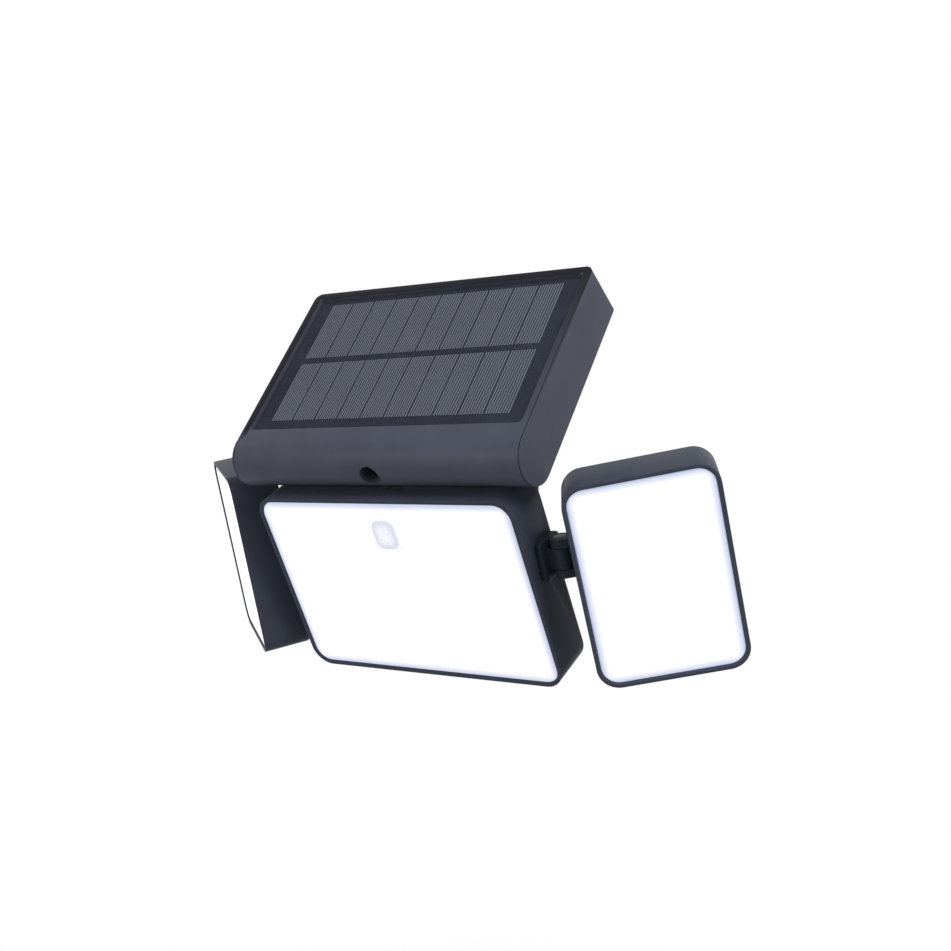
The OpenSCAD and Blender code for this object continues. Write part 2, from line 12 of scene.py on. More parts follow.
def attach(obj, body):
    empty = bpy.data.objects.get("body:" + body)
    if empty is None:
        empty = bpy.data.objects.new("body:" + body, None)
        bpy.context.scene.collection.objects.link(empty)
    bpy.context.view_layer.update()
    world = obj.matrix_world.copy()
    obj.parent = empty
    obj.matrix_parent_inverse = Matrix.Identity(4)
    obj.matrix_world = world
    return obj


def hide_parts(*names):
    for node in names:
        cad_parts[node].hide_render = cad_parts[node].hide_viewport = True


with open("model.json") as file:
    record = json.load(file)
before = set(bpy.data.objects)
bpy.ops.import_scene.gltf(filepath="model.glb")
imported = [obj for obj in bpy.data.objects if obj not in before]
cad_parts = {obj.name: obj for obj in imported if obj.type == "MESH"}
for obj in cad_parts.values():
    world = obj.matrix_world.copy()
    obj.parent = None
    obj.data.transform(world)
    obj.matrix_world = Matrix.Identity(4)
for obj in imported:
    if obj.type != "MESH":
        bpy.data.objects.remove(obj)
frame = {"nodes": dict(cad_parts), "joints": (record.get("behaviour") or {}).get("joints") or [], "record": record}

bl_info = {
    "name": "Solar flood light",
    "version": (1, 0, 0),
    "blender": (4, 5, 0),
    "location": "View3D > Sidebar > Flood light",
    "description": "Dresses the packed solar flood light with its housings, diffusers and finishes",
    "category": "Object",
}

MM = 0.001
NODES = frame["nodes"]
JOINTS = {joint["name"]: joint for joint in frame["joints"]}
BODY_OF = {node: body for body, nodes in frame["record"]["behaviour"]["bodies"].items() for node in nodes}
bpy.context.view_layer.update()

# Radii of the holes and pillars in the heads.
NECK_HOLE = 6.4 * MM
BUTTON_HOLE = 4.6 * MM
ARM_HOLE = 6.6 * MM
SCREW_PILLAR = 4.5 * MM
SCREW_SINK = 3.2 * MM

# The housings' screws.
SCREW_HEAD_RADIUS = 2.9 * MM
SCREW_HEAD_HEIGHT = 1.7 * MM
SCREW_SHANK_RADIUS = 1.5 * MM

# Share of light that the cover over the cells keeps back.
COVER_HAZE = 0.14

# Photograph: square frame in pixels, and the camera solved from it.
PHOTO_SIZE = 951
FOCAL_PIXELS = 1295.3
SENSOR_MM = 36.0
CAMERA_FROM_HINGE = Vector((448.0, -559.2, -10.5)) * MM
CAMERA_YAW = math.radians(34.6)
CAMERA_PITCH = math.radians(0.04)


# Settings

class HousingSettings(bpy.types.PropertyGroup):
    """Sizes of the moulded housings"""
    corner: FloatProperty(name="Head corner", description="Radius of a head's corners",
                          default=12 * MM, unit="LENGTH")
    rim: FloatProperty(name="Rim", description="Width of the rim round a diffuser",
                       default=2.3 * MM, unit="LENGTH")
    rim_gap: FloatProperty(name="Rim gap", description="Groove between rim and diffuser",
                           default=0.5 * MM, unit="LENGTH")
    ledge: FloatProperty(name="Ledge", description="Step that carries the gasket",
                         default=2.0 * MM, unit="LENGTH")
    pocket: FloatProperty(name="Pocket", description="Depth of the diffuser pocket",
                          default=9.0 * MM, unit="LENGTH")
    back: FloatProperty(name="Back", description="Thickness of a head's rear wall",
                        default=2.4 * MM, unit="LENGTH")
    edge: FloatProperty(name="Edge", description="Softened edge of a moulding",
                        default=0.55 * MM, unit="LENGTH")
    lens_edge: FloatProperty(name="Lens edge", description="Rounded edge of a diffuser",
                             default=1.1 * MM, unit="LENGTH")
    lens_sunk: FloatProperty(name="Lens sunk", description="Depth of a side diffuser's face behind its rim",
                             default=0.5 * MM, unit="LENGTH")
    slot_width: FloatProperty(name="Slot", description="Width of the neck's slot in the panel",
                              default=13.4 * MM, unit="LENGTH")
    slot_end: FloatProperty(name="Slot end", description="Where the slot ends, from straight below",
                            default=math.radians(98), subtype="ANGLE")
    curve_steps: IntProperty(name="Curve steps", description="Faces round a corner",
                             default=10, min=4, max=24)


class FinishSettings(bpy.types.PropertyGroup):
    """Colours of the finishes, with the painted shade of the heads and of the panel's border"""
    housing: FloatVectorProperty(name="Housing", description="Anthracite of the panel housing",
                                 subtype="COLOR", size=3, min=0, max=1, default=(0.069, 0.076, 0.102))
    # Painted shade: the heads use a darker copy of the housing anthracite, standing in for the shade they sit in
    # under the panel.
    head: FloatVectorProperty(name="Head", description="Darker anthracite of the lamp heads",
                              subtype="COLOR", size=3, min=0, max=1, default=(0.047, 0.054, 0.077))
    # Painted shade: the colour of the darkened border round the panel's cover.
    border_shade: FloatVectorProperty(name="Bezel", description="Dark border round the panel's cover",
                               subtype="COLOR", size=3, min=0, max=1, default=(0.012, 0.013, 0.019))
    graphite: FloatVectorProperty(name="Graphite", description="Arms and hinge neck",
                                  subtype="COLOR", size=3, min=0, max=1, default=(0.022, 0.027, 0.040))
    glow: FloatVectorProperty(name="Glow", description="Lit diffuser",
                              subtype="COLOR", size=3, min=0, max=1, default=(1.0, 1.0, 1.0))
    glow_edge: FloatVectorProperty(name="Glow edge", description="Diffuser near its edge",
                                   subtype="COLOR", size=3, min=0, max=1, default=(0.44, 0.48, 0.66))
    cell: FloatVectorProperty(name="Cell", description="Silicon of the solar cells",
                              subtype="COLOR", size=3, min=0, max=1, default=(0.0437, 0.0496, 0.0697))
    finger: FloatVectorProperty(name="Finger", description="Silver lines on the cells",
                                subtype="COLOR", size=3, min=0, max=1, default=(0.258, 0.279, 0.327))
    sheet: FloatVectorProperty(name="Sheet", description="Dark sheet behind the cells",
                               subtype="COLOR", size=3, min=0, max=1, default=(0.038, 0.043, 0.060))
    finger_pitch: FloatProperty(name="Finger pitch", description="Spacing of the silver lines",
                                default=1.60 * MM, unit="LENGTH")
    finger_count: IntProperty(name="Finger count", description="Silver lines on each cell",
                              default=10, min=1)
    lamp_pitch: FloatProperty(name="Lamp pitch", description="Spacing of the lamps behind a diffuser",
                              default=33 * MM, unit="LENGTH")


class LightSettings(bpy.types.PropertyGroup):
    """All settings of the light"""
    housing: PointerProperty(type=HousingSettings)
    finish: PointerProperty(type=FinishSettings)


def settings():
    return bpy.context.scene.flood_light


# Local frames, read from the construction

def slab_normal(node):
    """Normal of the largest flat face of a thin node."""
    total = {}
    for poly in NODES[node].data.polygons:
        key = tuple(round(abs(v), 3) for v in poly.normal)
        area, normal = total.get(key, (0.0, poly.normal.copy()))
        total[key] = (area + poly.area, normal)
    return max(total.values(), key=lambda item: item[0])[1].normalized()


def local_span(node, matrix):
    """Lowest and highest corner of a node in a local frame."""
    inverse = matrix.inverted()
    points = [inverse @ v.co for v in NODES[node].data.vertices]
    low = Vector([min(p[i] for p in points) for i in range(3)])
    high = Vector([max(p[i] for p in points) for i in range(3)])
    return low, high


def head_frame(prefix, up):
    """A head's frame: x across, y back from the rim, z up, centred on its front rim."""
    back = slab_normal(prefix + "_led_board")
    if back.y < 0:
        back.negate()
    up = Vector(up).normalized()
    if up.z < 0:
        up.negate()
    side = back.cross(up).normalized()
    turn = Matrix((side, back, up)).transposed().to_4x4()
    low, high = local_span(prefix + "_gasket", turn)
    middle = (low + high) / 2
    middle.y = high.y - settings().housing.pocket
    return Matrix.Translation(turn @ middle) @ turn


def main_frame():
    return head_frame("main", JOINTS["mode_button_press"]["axis"])


def side_frame(prefix):
    return head_frame(prefix, JOINTS[prefix + "_head_swivel"]["axis"])


def panel_frame():
    """The panel's frame: x across, y up the slope, z out of its face, centred on the hinge axis."""
    face = slab_normal("solar_cover")
    if face.z < 0:
        face.negate()
    across = Vector((1, 0, 0))
    turn = Matrix((across, face.cross(across), face)).transposed().to_4x4()
    return Matrix.Translation(Vector(JOINTS["panel_tilt"]["pos_m"])) @ turn


# Modelling by hand

def deselect():
    bpy.ops.object.select_all(action="DESELECT")


def activate(obj):
    deselect()
    obj.select_set(True)
    bpy.context.view_layer.objects.active = obj


def edit(obj):
    activate(obj)
    bpy.ops.object.mode_set(mode="EDIT")
    bpy.ops.mesh.select_all(action="DESELECT")


def leave_edit():
    bpy.ops.object.mode_set(mode="OBJECT")


def pick(kind, test):
    """Selects the edges or faces of the edited mesh that pass a test."""
    bpy.ops.mesh.select_mode(type=kind)
    bpy.ops.mesh.select_all(action="DESELECT")
    mesh = bpy.context.edit_object.data
    bm = bmesh.from_edit_mesh(mesh)
    bm.normal_update()
    for item in (bm.edges if kind == "EDGE" else bm.faces):
        item.select_set(bool(test(item)))
    bm.select_flush_mode()
    bmesh.update_edit_mesh(mesh)


def along(edge, axis):
    """True for an edge that runs along an axis."""
    run = edge.verts[1].co - edge.verts[0].co
    return abs(run.normalized()[axis]) > 0.999


def add_block(name, low, high):
    """A block between two corners, as a start for shaping."""
    low, high = Vector(low), Vector(high)
    deselect()
    bpy.ops.mesh.primitive_cube_add(size=1)
    obj = bpy.context.object
    obj.name = name
    edit(obj)
    bpy.ops.mesh.select_all(action="SELECT")
    bpy.ops.transform.resize(value=high - low)
    bpy.ops.transform.translate(value=(low + high) / 2)
    leave_edit()
    return obj


def add_rod(name, radius, start, end, steps=40):
    """A round rod between two points."""
    start, end = Vector(start), Vector(end)
    deselect()
    bpy.ops.mesh.primitive_cylinder_add(radius=radius, depth=(end - start).length, vertices=steps)
    obj = bpy.context.object
    obj.name = name
    turn = Vector((0, 0, 1)).rotation_difference(end - start).to_matrix().to_4x4()
    obj.data.transform(Matrix.Translation((start + end) / 2) @ turn)
    return obj


def add_rounded_slab(name, width, height, radius, front, rear):
    """A slab with rounded corners, thin along y."""
    obj = add_block(name, (-width / 2, front, -height / 2), (width / 2, rear, height / 2))
    edit(obj)
    pick("EDGE", lambda e: along(e, 1))
    steps = settings().housing.curve_steps
    bpy.ops.mesh.bevel(offset=radius, segments=steps, affect="EDGES", clamp_overlap=False)
    leave_edit()
    return obj


def apply_modifier(obj, kind, **values):
    activate(obj)
    modifier = obj.modifiers.new(kind.title(), kind)
    for key, value in values.items():
        setattr(modifier, key, value)
    bpy.ops.object.modifier_apply(modifier=modifier.name)


def carve(obj, tool, operation="DIFFERENCE"):
    """Cuts a tool out of a piece, or joins it on, and removes the tool."""
    apply_modifier(obj, "BOOLEAN", operation=operation, object=tool, solver="EXACT")
    bpy.data.objects.remove(tool)


def soften_edges(obj, width, steps=3, angle=35):
    apply_modifier(obj, "BEVEL", width=width, segments=steps, limit_method="ANGLE",
                   angle_limit=math.radians(angle), harden_normals=False, use_clamp_overlap=True)
    activate(obj)
    bpy.ops.object.shade_smooth_by_angle(angle=math.radians(40))


def soft_copy(node, width, steps=2):
    """A copy of a construction piece with softened edges."""
    obj = bpy.data.objects.new(node + "_soft", NODES[node].data.copy())
    bpy.context.scene.collection.objects.link(obj)
    obj.data.materials.clear()
    activate(obj)
    bpy.ops.mesh.customdata_custom_splitnormals_clear()
    edit(obj)
    bpy.ops.mesh.select_all(action="SELECT")
    bpy.ops.mesh.remove_doubles(threshold=1e-6)
    bpy.ops.mesh.dissolve_limited(angle_limit=math.radians(0.4))
    leave_edit()
    soften_edges(obj, width, steps)
    return obj


def place(obj, matrix):
    """Moves a finished mesh into the light's frame."""
    obj.data.transform(matrix)
    obj.data.update()
    return obj


def join(objects, name):
    deselect()
    for obj in objects:
        obj.select_set(True)
    bpy.context.view_layer.objects.active = objects[0]
    bpy.ops.object.join()
    result = bpy.context.object
    result.name = name
    return result


def fit_out(obj, node, material, *others):
    """Hands a piece over: its body, the nodes it stands for and its finish."""
    obj.name = node + "_piece"
    obj.data.materials.clear()
    obj.data.materials.append(material)
    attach(obj, BODY_OF[node])
    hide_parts(node, *others)
    return obj


def paint(node, material):
    """Gives a construction piece that keeps its shape a finish."""
    for slot in NODES[node].material_slots:
        slot.material = material


# Shader parts

def group_tree(name, inputs, outputs):
    tree = bpy.data.node_groups.new(name, "ShaderNodeTree")
    for label, default in inputs:
        kind = "NodeSocketVector" if default is None else "NodeSocketFloat"
        socket = tree.interface.new_socket(label, in_out="INPUT", socket_type=kind)
        if default is not None:
            socket.default_value = default
    for label in outputs:
        tree.interface.new_socket(label, in_out="OUTPUT", socket_type="NodeSocketFloat")
    start = tree.nodes.new("NodeGroupInput")
    end = tree.nodes.new("NodeGroupOutput")
    return tree, start, end


def add_node(tree, kind, values=None, **inputs):
    """A node with its settings and its inputs, each a value or a link."""
    made = tree.nodes.new(kind)
    for key, value in (values or {}).items():
        setattr(made, key, value)
    for label, value in inputs.items():
        by_number = label[0] == "i" and label[1:].isdigit()
        socket = made.inputs[int(label[1:]) if by_number else label]
        if isinstance(value, bpy.types.NodeSocket):
            tree.links.new(value, socket)
        else:
            socket.default_value = value
    return made


def sum_up(tree, operation, first, second=0.5, third=None):
    made = add_node(tree, "ShaderNodeMath", {"operation": operation}, i0=first, i1=second)
    if third is not None:
        made.inputs[2].default_value = third
    return made.outputs[0]


def blend_colour(tree, factor, first, second):
    made = tree.nodes.new("ShaderNodeMix")
    made.data_type = "RGBA"
    for socket, value in ((made.inputs[0], factor), (made.inputs[6], first), (made.inputs[7], second)):
        if isinstance(value, bpy.types.NodeSocket):
            tree.links.new(value, socket)
        else:
            socket.default_value = value if isinstance(value, float) else tuple(value)[:3] + (1.0,)
    return made.outputs[2]


def ramp_value(tree, value, low, high, to_low=0.0, to_high=1.0, smooth=True):
    made = add_node(tree, "ShaderNodeMapRange", {"interpolation_type": "SMOOTHSTEP" if smooth else "LINEAR"},
                    Value=value)
    for label, number in (("From Min", low), ("From Max", high), ("To Min", to_low), ("To Max", to_high)):
        made.inputs[label].default_value = number
    return made.outputs[0]


def moulded_grain():
    """Shared group: fine spark-eroded grain and the slow mottle of a moulding."""
    name = "Moulded grain"
    if name in bpy.data.node_groups:
        return bpy.data.node_groups[name]
    inputs = [("Place", None), ("Fineness", 2600.0), ("Patch", 38.0)]
    tree, start, end = group_tree(name, inputs, ["Grain", "Mottle"])
    fine = add_node(tree, "ShaderNodeTexNoise", None, Vector=start.outputs["Place"],
                    Scale=start.outputs["Fineness"], Detail=3.0, Roughness=0.6)
    slow = add_node(tree, "ShaderNodeTexNoise", None, Vector=start.outputs["Place"],
                    Scale=start.outputs["Patch"], Detail=2.0, Roughness=0.5)
    tree.links.new(fine.outputs[0], end.inputs["Grain"])
    tree.links.new(slow.outputs[0], end.inputs["Mottle"])
    return tree


def brushed_lines():
    """Shared group: drawn lines and spots of turned steel."""
    name = "Brushed lines"
    if name in bpy.data.node_groups:
        return bpy.data.node_groups[name]
    tree, start, end = group_tree(name, [("Place", None), ("Lines", 900.0)], ["Streak", "Spot"])
    stretch = add_node(tree, "ShaderNodeMapping", {"vector_type": "POINT"}, Vector=start.outputs["Place"])
    stretch.inputs["Scale"].default_value = (0.08, 1.0, 1.0)
    streak = add_node(tree, "ShaderNodeTexNoise", None, Vector=stretch.outputs[0],
                      Scale=start.outputs["Lines"], Detail=2.0)
    spot = add_node(tree, "ShaderNodeTexNoise", None, Vector=start.outputs["Place"], Scale=120.0, Detail=3.0)
    tree.links.new(streak.outputs[0], end.inputs["Streak"])
    tree.links.new(spot.outputs[0], end.inputs["Spot"])
    return tree


def start_material(name):
    """A new material with its shader and the piece's own coordinates."""
    material = bpy.data.materials.new(name)
    material.use_nodes = True
    tree = material.node_tree
    shader = tree.nodes["Principled BSDF"]
    place_node = tree.nodes.new("ShaderNodeTexCoord")
    return material, tree, shader, place_node.outputs["Object"]


def use_group(tree, group, place_socket, **values):
    made = tree.nodes.new("ShaderNodeGroup")
    made.node_tree = group
    tree.links.new(place_socket, made.inputs["Place"])
    for label, value in values.items():
        made.inputs[label].default_value = value
    return made


def grained(name, colour, tint, roughness, depth, specular=0.5, fineness=2600.0):
    """A moulded or coated finish: two close tones, uneven sheen and a fine grain."""
    material, tree, shader, where = start_material(name)
    grain = use_group(tree, moulded_grain(), where, Fineness=fineness)
    mottle = ramp_value(tree, grain.outputs["Mottle"], 0.35, 0.65)
    second = [c * tint for c in colour]
    tree.links.new(blend_colour(tree, mottle, colour, second), shader.inputs["Base Color"])
    rough = ramp_value(tree, grain.outputs["Grain"], 0.3, 0.7, roughness - 0.05, roughness + 0.05,
                       smooth=False)
    tree.links.new(rough, shader.inputs["Roughness"])
    bump = add_node(tree, "ShaderNodeBump", None, Height=grain.outputs["Grain"], Strength=0.35,
                    Distance=depth)
    tree.links.new(bump.outputs[0], shader.inputs["Normal"])
    shader.inputs["Specular IOR Level"].default_value = specular
    return material


def plain_finish(name, *values):
    """A grained finish, made once."""
    return cached(name, lambda n: grained(n, *values))


def housing_plastic():
    return plain_finish("Housing plastic", settings().finish.housing, 1.12, 0.42, 0.03 * MM, 0.06)


# A darker copy of the housing plastic: painted shade on the heads.
def head_plastic_with_painted_shade():
    return plain_finish("Head plastic", settings().finish.head, 1.12, 0.42, 0.03 * MM, 0.06)


def panel_plastic_with_painted_shade():
    """Housing plastic with painted shade: a dark border round the cover, faded towards the front on the right, and
    a dark line at each end for the shade of a seam groove.
    """
    def make(name):
        finish = settings().finish
        matrix = panel_frame()
        material = grained(name, finish.housing, 1.12, 0.42, 0.03 * MM, 0.06)
        tree = material.node_tree
        shader = tree.nodes["Principled BSDF"]
        plain = shader.inputs["Base Color"].links[0].from_socket
        where = add_node(tree, "ShaderNodeTexCoord").outputs["Object"]
        across, along_slope, out = local_place(tree, where, matrix)
        low, high = local_span("solar_cover", matrix)
        # Painted shade: the strips of the face left of, right of and behind the cover are darkened in colour, not
        # by geometry.
        on_face = ramp_value(tree, out, high.z - 0.2 * MM, high.z + 0.05 * MM)
        left = ramp_value(tree, across, low.x - 0.6 * MM, low.x - 0.1 * MM, 1.0, 0.0)
        rear = ramp_value(tree, along_slope, high.y + 0.1 * MM, high.y + 0.6 * MM)
        right = ramp_value(tree, across, high.x + 0.1 * MM, high.x + 0.6 * MM)
        # Painted shade on the right strip: dark at the rear, fading to almost nothing towards the front.
        fade = ramp_value(tree, along_slope, 0.1 * high.y, high.y, 0.05, 1.0, smooth=False)
        front = ramp_value(tree, along_slope, 0.0, low.y, 0.0, 1.0)
        faded = sum_up(tree, "MULTIPLY", right, fade)
        sides = sum_up(tree, "MULTIPLY", sum_up(tree, "MAXIMUM", left, faded), front)
        border = sum_up(tree, "MULTIPLY", sum_up(tree, "MAXIMUM", sides, rear), on_face)
        # Painted shade: a thin dark line just inside each end wall stands in for the shade of a seam groove that
        # is not modelled.
        seam_at = local_span("panel_housing", matrix)[1].x - 1.1 * MM
        past_seam = sum_up(tree, "SUBTRACT", sum_up(tree, "ABSOLUTE", across), seam_at)
        from_seam = sum_up(tree, "ABSOLUTE", past_seam)
        seam = ramp_value(tree, from_seam, 0.25 * MM, 0.45 * MM, 0.85, 0.0)
        mask = sum_up(tree, "MAXIMUM", border, seam)
        tree.links.new(blend_colour(tree, mask, plain, finish.border_shade), shader.inputs["Base Color"])
        return material
    return cached("Panel plastic", make)


def dark_steel():
    return plain_finish("Dark steel", (0.022, 0.023, 0.027), 1.3, 0.4, 0.02 * MM, 0.2, 1800.0)


def graphite_plastic():
    return plain_finish("Graphite plastic", settings().finish.graphite, 1.2, 0.46, 0.03 * MM, 0.09)


def powder_coat():
    return plain_finish("Powder coat", (0.020, 0.021, 0.024), 1.15, 0.55, 0.06 * MM, 0.2, 1500.0)


def seal_rubber():
    return plain_finish("Seal rubber", (0.012, 0.012, 0.014), 1.3, 0.75, 0.04 * MM, 0.3, 1800.0)


def button_rubber():
    return plain_finish("Button rubber", (0.030, 0.031, 0.035), 1.15, 0.68, 0.03 * MM, 0.35, 2000.0)


def board_mask(name, colour):
    return plain_finish(name, colour, 0.92, 0.35, 0.01 * MM, 0.5, 900.0)


def cached(name, make):
    return bpy.data.materials.get(name) or make(name)


def zinc_steel():
    def make(name):
        material, tree, shader, where = start_material(name)
        lines = use_group(tree, brushed_lines(), where)
        spots = ramp_value(tree, lines.outputs["Spot"], 0.4, 0.7)
        tone = blend_colour(tree, spots, (0.50, 0.51, 0.53), (0.38, 0.39, 0.42))
        tree.links.new(tone, shader.inputs["Base Color"])
        rough = ramp_value(tree, lines.outputs["Streak"], 0.3, 0.7, 0.24, 0.40, smooth=False)
        tree.links.new(rough, shader.inputs["Roughness"])
        bump = add_node(tree, "ShaderNodeBump", None, Height=lines.outputs["Streak"], Strength=0.2,
                        Distance=0.02 * MM)
        tree.links.new(bump.outputs[0], shader.inputs["Normal"])
        shader.inputs["Metallic"].default_value = 1.0
        return material
    return cached("Zinc steel", make)


def local_place(tree, where, matrix):
    """Coordinates of a head or the panel in its own frame, in metres."""
    mapping = add_node(tree, "ShaderNodeMapping", {"vector_type": "TEXTURE"}, Vector=where)
    mapping.inputs["Location"].default_value = matrix.to_translation()
    mapping.inputs["Rotation"].default_value = matrix.to_euler()
    split = add_node(tree, "ShaderNodeSeparateXYZ", None, Vector=mapping.outputs[0])
    return split.outputs


def sensor_shadow(tree, across, up, sensor_at):
    """Soft grey round the sensor's window and in a column above it."""
    aside = sum_up(tree, "ABSOLUTE", across)
    off = sum_up(tree, "SUBTRACT", up, sensor_at)
    beside = sum_up(tree, "SUBTRACT", aside, 5.0 * MM)
    above = sum_up(tree, "SUBTRACT", sum_up(tree, "ABSOLUTE", off), 6.0 * MM)
    away = sum_up(tree, "SMOOTH_MAX", beside, above, 6 * MM)
    halo = ramp_value(tree, away, 2.5 * MM, 9.0 * MM, 0.34, 0.0)
    stripe = sum_up(tree, "MULTIPLY", ramp_value(tree, aside, 4.0 * MM, 14.0 * MM, 0.12, 0.0),
                    ramp_value(tree, off, 0.0, 8.0 * MM))
    return sum_up(tree, "MAXIMUM", halo, stripe)


def lit_opal(name, matrix, width, height, columns_shift, sensor_at=None):
    """A lit opal diffuser: white in the middle, lavender at its edge, faint scallops between the lamps."""
    finish = settings().finish
    material, tree, shader, where = start_material(name)
    across, _, up = local_place(tree, where, matrix)
    from_side = sum_up(tree, "SUBTRACT", width / 2, sum_up(tree, "ABSOLUTE", across))
    from_end = sum_up(tree, "SUBTRACT", height / 2, sum_up(tree, "ABSOLUTE", up))
    edge = sum_up(tree, "SMOOTH_MIN", from_side, from_end, 6 * MM)
    rim = ramp_value(tree, edge, -1.0 * MM, 6.0 * MM, 1.0, 0.0)
    turn = 2 * math.pi / finish.lamp_pitch
    wave = sum_up(tree, "MULTIPLY", sum_up(tree, "ADD", across, columns_shift), turn)
    between = sum_up(tree, "MULTIPLY_ADD", sum_up(tree, "COSINE", wave), -0.5, 0.5)
    low_edge = ramp_value(tree, sum_up(tree, "ADD", up, height / 2), 2 * MM, 16 * MM, 1.0, 0.0)
    scallop = sum_up(tree, "MULTIPLY", sum_up(tree, "MULTIPLY", between, low_edge), 0.16)
    haze = add_node(tree, "ShaderNodeTexNoise", None, Vector=where, Scale=28.0, Detail=1.0)
    cloud = ramp_value(tree, haze.outputs[0], 0.52, 0.75, 0.0, 0.06)
    lamp_rows = sum_up(tree, "COSINE", sum_up(tree, "MULTIPLY", up, 2 * math.pi / (30 * MM)))
    at_lamp = sum_up(tree, "MULTIPLY", sum_up(tree, "SUBTRACT", 1.0, between), lamp_rows)
    lamp_spots = ramp_value(tree, at_lamp, 0.6, 1.0, 0.0, 0.10)
    at_edge = sum_up(tree, "MAXIMUM", rim, scallop)
    shade = sum_up(tree, "ADD", at_edge, sum_up(tree, "MAXIMUM", cloud, lamp_spots))
    if sensor_at is not None:
        shade = sum_up(tree, "MAXIMUM", shade, sensor_shadow(tree, across, up, sensor_at))
    glow = blend_colour(tree, shade, finish.glow, finish.glow_edge)
    tree.links.new(glow, shader.inputs["Emission Color"])
    shader.inputs["Emission Strength"].default_value = 0.90
    body = blend_colour(tree, shade, (0.28, 0.28, 0.29), (0.22, 0.23, 0.27))
    tree.links.new(body, shader.inputs["Base Color"])
    grain = use_group(tree, moulded_grain(), where, Fineness=1800.0)
    rough = ramp_value(tree, grain.outputs["Grain"], 0.3, 0.7, 0.34, 0.44)
    tree.links.new(rough, shader.inputs["Roughness"])
    return material


def sensor_opal_with_painted_glow():
    """The sensor's lens: opal with fine facets. Its glow is painted light, as the lens is no lamp, and it is
    dimmer at its rim.
    """
    def make(name):
        material, tree, shader, where = start_material(name)
        across, _, up = local_place(tree, where, main_frame())
        low, high = local_span("pir_lens", main_frame())
        beside = sum_up(tree, "SUBTRACT", sum_up(tree, "ABSOLUTE", across), 5.0 * MM)
        off = sum_up(tree, "ABSOLUTE", sum_up(tree, "SUBTRACT", up, (low.z + high.z) / 2))
        away = sum_up(tree, "SMOOTH_MAX", beside, sum_up(tree, "SUBTRACT", off, 6.0 * MM), 6 * MM)
        rim = ramp_value(tree, away, -2.5 * MM, 2.5 * MM)
        cells = add_node(tree, "ShaderNodeTexVoronoi", {"feature": "DISTANCE_TO_EDGE"},
                         Vector=where, Scale=420.0)
        facet = ramp_value(tree, cells.outputs[0], 0.0, 0.12)
        lit = blend_colour(tree, facet, (0.74, 0.76, 0.83), (0.84, 0.86, 0.91))
        # Painted glow: emission on a lens that is no lamp, dimmer towards its rim.
        tree.links.new(blend_colour(tree, rim, lit, (0.58, 0.61, 0.70)), shader.inputs["Emission Color"])
        shader.inputs["Emission Strength"].default_value = 0.85
        body = blend_colour(tree, facet, (0.24, 0.24, 0.27), (0.30, 0.30, 0.32))
        tree.links.new(body, shader.inputs["Base Color"])
        bump = add_node(tree, "ShaderNodeBump", None, Height=facet, Strength=0.3, Distance=0.1 * MM)
        tree.links.new(bump.outputs[0], shader.inputs["Normal"])
        shader.inputs["Roughness"].default_value = 0.35
        return material
    return cached("Sensor opal", make)


def cell_pitch():
    """The spacing of the cell columns, as the construction has it."""
    sides = sorted({round(v.co.x, 5) for v in NODES["solar_cells"].data.vertices})
    return sides[2] - sides[0]


def silicon():
    """Solar cells: dark silicon under fine silver lines that run up the slope."""
    def make(name):
        finish = settings().finish
        material, tree, shader, where = start_material(name)
        split = add_node(tree, "ShaderNodeSeparateXYZ", None, Vector=where)
        pitch = cell_pitch()
        column = sum_up(tree, "FRACT", sum_up(tree, "DIVIDE", split.outputs[0], pitch))
        across = sum_up(tree, "MULTIPLY", column, pitch)
        inside = sum_up(tree, "SUBTRACT", across, (pitch - finish.finger_count * finish.finger_pitch) / 2)
        turns = sum_up(tree, "DIVIDE", inside, finish.finger_pitch)
        saw = sum_up(tree, "ABSOLUTE", sum_up(tree, "SUBTRACT", sum_up(tree, "FRACT", turns), 0.5))
        from_gap = sum_up(tree, "MINIMUM", across, sum_up(tree, "SUBTRACT", pitch, across))
        clear = ramp_value(tree, from_gap, 0.7 * MM, 0.8 * MM)
        line = sum_up(tree, "MULTIPLY", ramp_value(tree, saw, 0.10, 0.24, 1.0, 0.0), clear)
        crystal = add_node(tree, "ShaderNodeTexNoise", None, Vector=where, Scale=60.0, Detail=4.0)
        tone = blend_colour(tree, ramp_value(tree, crystal.outputs[0], 0.35, 0.65), finish.cell,
                            [c * 1.25 for c in finish.cell])
        tree.links.new(blend_colour(tree, line, tone, finish.finger), shader.inputs["Base Color"])
        tree.links.new(ramp_value(tree, line, 0.0, 1.0, 0.30, 0.45), shader.inputs["Roughness"])
        shader.inputs["Specular IOR Level"].default_value = 0.08
        return material
    return cached("Silicon", make)


def cell_sheet():
    return plain_finish("Cell sheet", settings().finish.sheet, 1.2, 0.4, 0.01 * MM, 0.0, 1200.0)


def satin_cover():
    """The clear cover over the cells: a thin satin film."""
    def make(name):
        material, tree, shader, where = start_material(name)
        grain = use_group(tree, moulded_grain(), where, Fineness=2200.0)
        rough = ramp_value(tree, grain.outputs["Grain"], 0.3, 0.7, 0.32, 0.42)
        tree.links.new(rough, shader.inputs["Roughness"])
        shader.inputs["Base Color"].default_value = (*settings().finish.sheet, 1.0)
        shader.inputs["Specular IOR Level"].default_value = 0.0
        side = add_node(tree, "ShaderNodeNewGeometry").outputs["Backfacing"]
        tree.links.new(ramp_value(tree, side, 0.0, 1.0, COVER_HAZE, 0.0), shader.inputs["Alpha"])
        return material
    return cached("Satin cover", make)


def shrink_wrap():
    return plain_finish("Shrink wrap", (0.05, 0.15, 0.38), 1.15, 0.28, 0.01 * MM, 0.5, 700.0)


def phosphor():
    return plain_finish("Phosphor", (0.85, 0.72, 0.25), 0.9, 0.4, 0.01 * MM, 0.5, 900.0)


# Pieces

